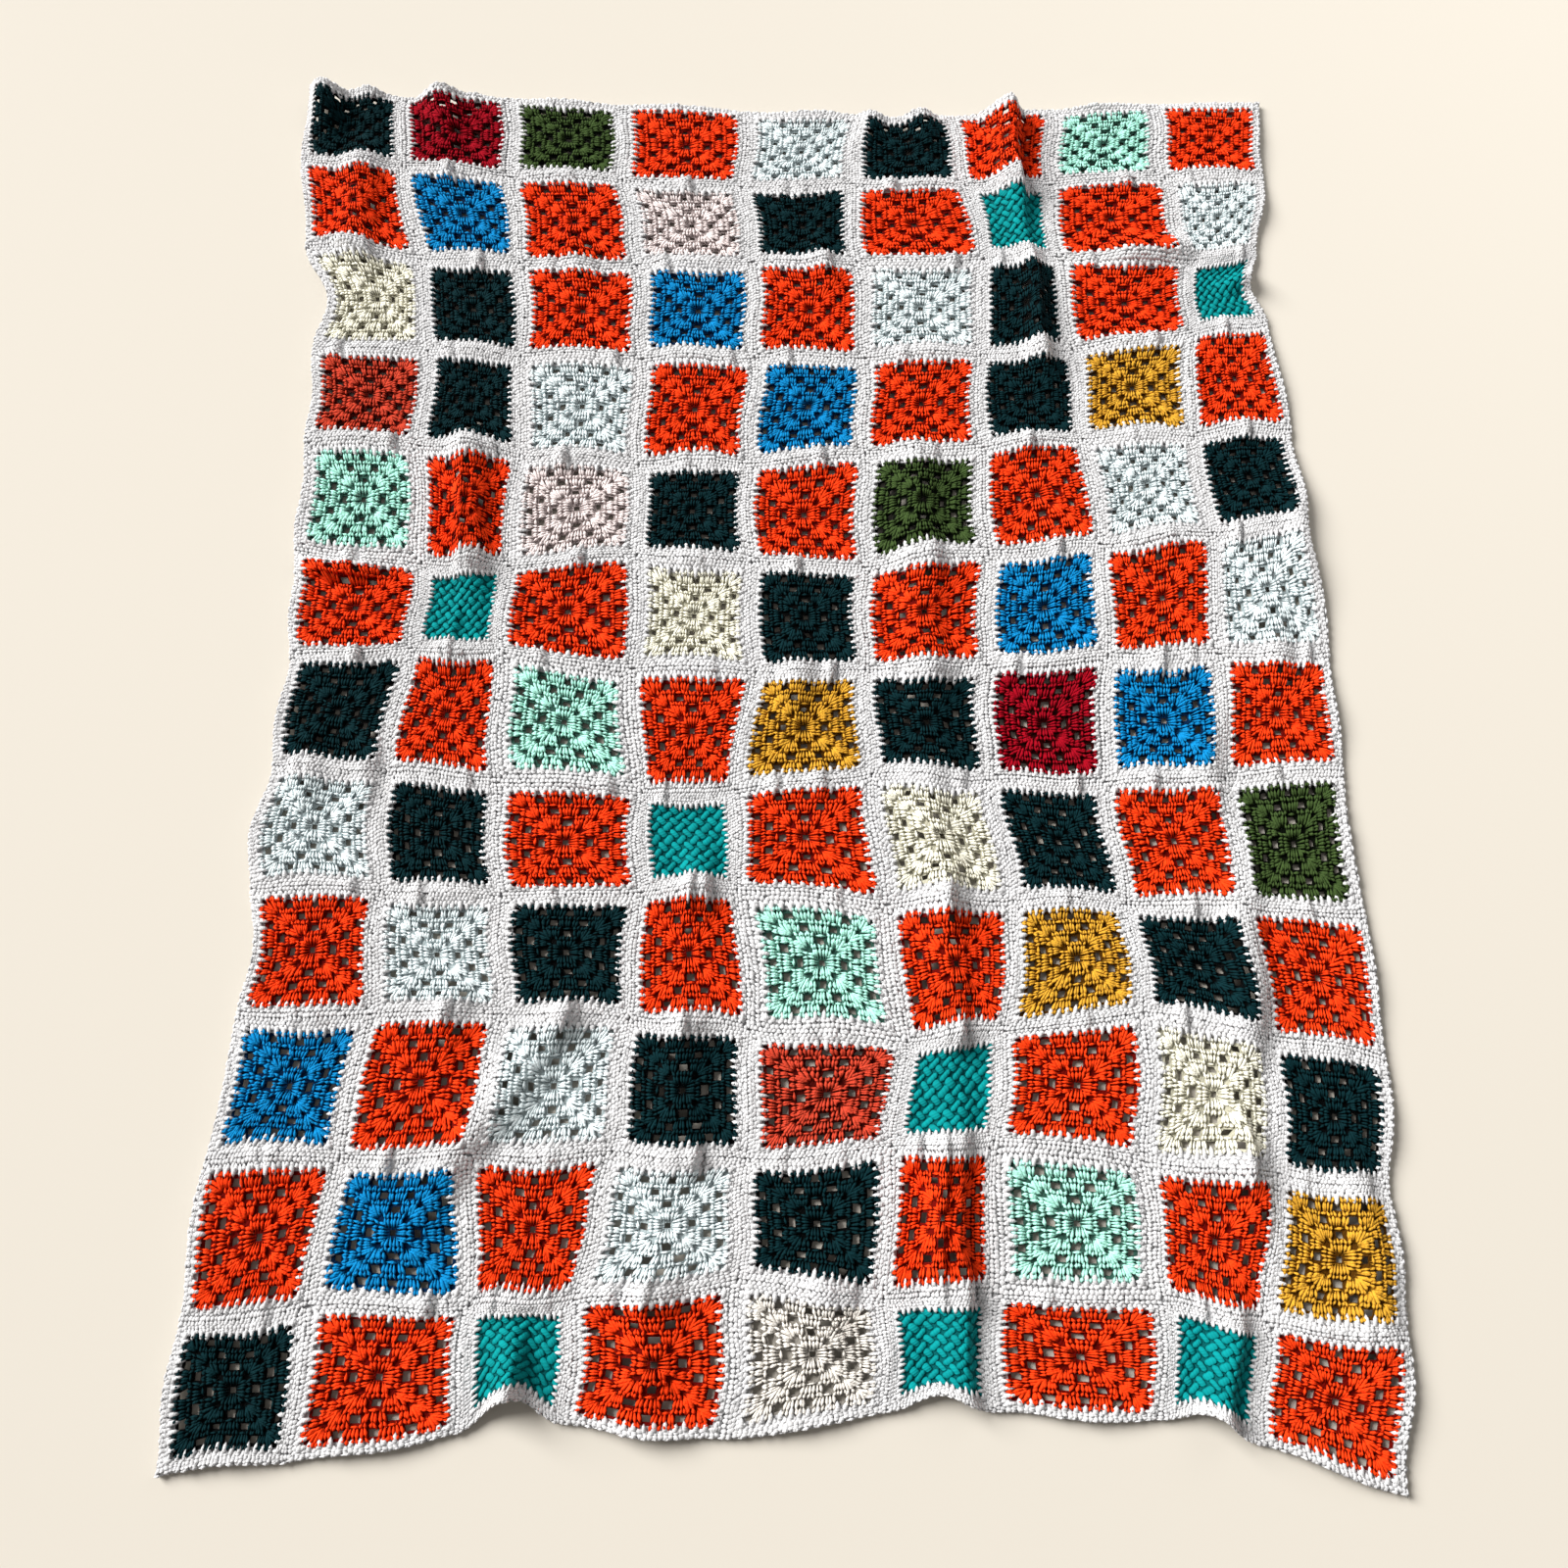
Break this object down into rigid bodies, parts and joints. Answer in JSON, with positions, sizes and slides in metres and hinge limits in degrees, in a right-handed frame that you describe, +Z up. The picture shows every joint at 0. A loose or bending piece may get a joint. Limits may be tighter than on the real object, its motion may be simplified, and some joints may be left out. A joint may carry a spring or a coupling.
{
  "type": "crochet granny square blanket",
  "caption": "Crocheted throw of joined granny squares in many colours with white borders, laid out flat with soft folds.",
  "frame": {"origin": "middle of the laid blanket's outline, on the surface that it lies on", "axes": "+Z up, +Y along the blanket's length towards its far edge, +X to the right across its width"},
  "size_m": [1.2334, 1.6296, 0.035],
  "materials": {
    "yarn": "matt crocheted yarn, many colours with white borders"
  },
  "bodies": {
    "root": {"squares_row_01": "yarn", "squares_row_02": "yarn", "squares_row_03": "yarn", "squares_row_04": "yarn", "squares_row_05": "yarn", "squares_row_06": "yarn", "squares_row_07": "yarn", "squares_row_08": "yarn", "squares_row_09": "yarn", "squares_row_10": "yarn", "squares_row_11": "yarn", "squares_row_12": "yarn"}
  },
  "joints": []
}
